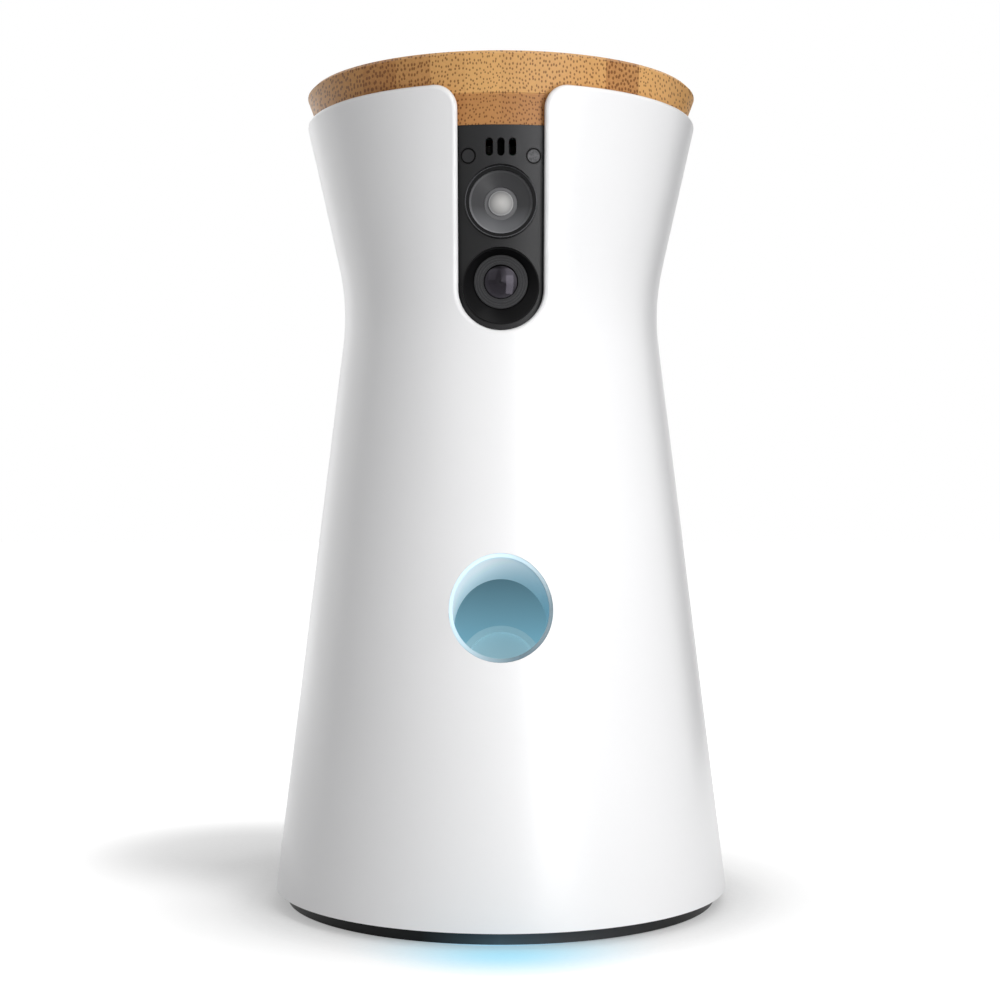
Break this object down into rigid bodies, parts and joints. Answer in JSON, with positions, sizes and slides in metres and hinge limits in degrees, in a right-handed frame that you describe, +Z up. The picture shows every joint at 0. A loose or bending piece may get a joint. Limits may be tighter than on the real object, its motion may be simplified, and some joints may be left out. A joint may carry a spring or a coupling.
{
  "type": "treat tossing pet camera",
  "caption": "Hourglass pet camera with a bamboo lid, a treat hopper and metering wheel, a sprung arm that tosses treats through a round mouth, and a wide lens in a front notch.",
  "frame": {"origin": "middle of the foot on the floor", "axes": "+Z up, the camera and the mouth face -Y"},
  "size_m": [0.1264, 0.1264, 0.225],
  "materials": {
    "shell_abs": "white gloss moulded ABS",
    "bamboo": "laminated bamboo, satin oiled",
    "panel_plastic": "satin charcoal moulded plastic",
    "bezel_plastic": "black moulded plastic",
    "lens_glass": "coated glass",
    "lamp_diffuser": "frosted light diffuser",
    "reflector_plastic": "grey satin reflector",
    "teal_plastic": "tinted moulded plastic",
    "guide_clear": "clear light guide, cyan light",
    "foot_rubber": "black rubber",
    "silicone": "translucent silicone",
    "frame_plastic": "grey moulded ABS",
    "hopper_plastic": "food-safe moulded plastic",
    "gear_plastic": "natural acetal",
    "steel": "plain steel",
    "bush_brass": "sintered bronze",
    "circuit_board": "solder-masked board",
    "speaker_paper": "pressed paper cone"
  },
  "bodies": {
    "housing": {"front_shell": "shell_abs", "rear_shell": "shell_abs", "base_plate": "frame_plastic", "foot_ring": "foot_rubber", "ballast_plate": "steel", "light_guide": "guide_clear", "status_light_board": "circuit_board", "deck_posts": "frame_plastic", "mechanism_deck": "frame_plastic", "hopper": "hopper_plastic", "treat_shield": "hopper_plastic", "wheel_bush": "bush_brass", "wheel_motor": "steel", "drop_chute": "teal_plastic", "treat_sensor": "bezel_plastic", "launch_chamber": "teal_plastic", "mouth_liner": "teal_plastic", "stop_pad": "foot_rubber", "toss_spring": "steel", "motor_plate": "frame_plastic", "plate_spacers": "frame_plastic", "toss_motor": "steel", "chamber_stand": "frame_plastic", "arm_switch": "bezel_plastic", "camera_panel": "panel_plastic", "lamp_bezel": "bezel_plastic", "lamp_reflector": "reflector_plastic", "lamp_core": "lamp_diffuser", "camera_bezel": "bezel_plastic", "camera_barrel": "bezel_plastic", "camera_lens": "lens_glass", "front_board": "circuit_board", "sensor_windows": "reflector_plastic", "microphone": "steel", "main_board": "circuit_board", "shield_can": "steel", "speaker_boss": "frame_plastic", "speaker_frame": "steel", "speaker_cone": "speaker_paper", "rear_board": "circuit_board", "power_socket": "steel", "reset_switch": "bezel_plastic", "shaft_bush_right": "bush_brass", "shaft_bush_left": "bush_brass", "deck_screws": "steel", "shell_screws": "steel", "hopper_screws": "steel"},
    "lid": {"lid_board": "bamboo", "lid_seal": "silicone"},
    "wheel": {"metering_wheel": "gear_plastic", "wheel_shaft": "steel", "wheel_gear": "gear_plastic"},
    "wheel_drive": {"wheel_pinion": "gear_plastic"},
    "tosser": {"toss_arm": "teal_plastic", "toss_shaft": "steel", "toss_gear": "gear_plastic", "spring_collar": "steel"},
    "toss_drive": {"toss_pinion": "gear_plastic"},
    "button": {"reset_button": "bezel_plastic"}
  },
  "joints": [
    {"name": "lid_lift", "type": "slide", "parent": "housing", "child": "lid", "axis": [0, 0, 1], "range_m": [0, 0.06]},
    {"name": "wheel_turn", "type": "hinge", "parent": "housing", "child": "wheel", "pos_m": [0, 0.008, 0.15], "axis": [0, 0, 1], "continuous": true},
    {"name": "wheel_drive_turn", "type": "hinge", "parent": "housing", "child": "wheel_drive", "pos_m": [0, 0.02, 0.14], "axis": [0, 0, 1], "continuous": true},
    {"name": "toss_turn", "type": "hinge", "parent": "housing", "child": "tosser", "pos_m": [0, -0.0225, 0.05298], "axis": [1, 0, 0], "range_deg": [-56, 0], "stiffness_Nm_per_rad": 0.02, "springref_deg": 20.05},
    {"name": "toss_drive_turn", "type": "hinge", "parent": "housing", "child": "toss_drive", "pos_m": [0.02, -0.0015, 0.05298], "axis": [1, 0, 0], "range_deg": [0, 179.2]},
    {"name": "reset_press", "type": "slide", "parent": "housing", "child": "button", "axis": [0, -1, 0], "range_m": [0, 0.0008], "stiffness_N_per_m": 300, "springref_m": -0.001}
  ],
  "couplings": [
    {"joint": "wheel_drive_turn", "follows": "wheel_turn", "ratio": -2},
    {"joint": "toss_drive_turn", "follows": "toss_turn", "ratio": -3.2}
  ]
}
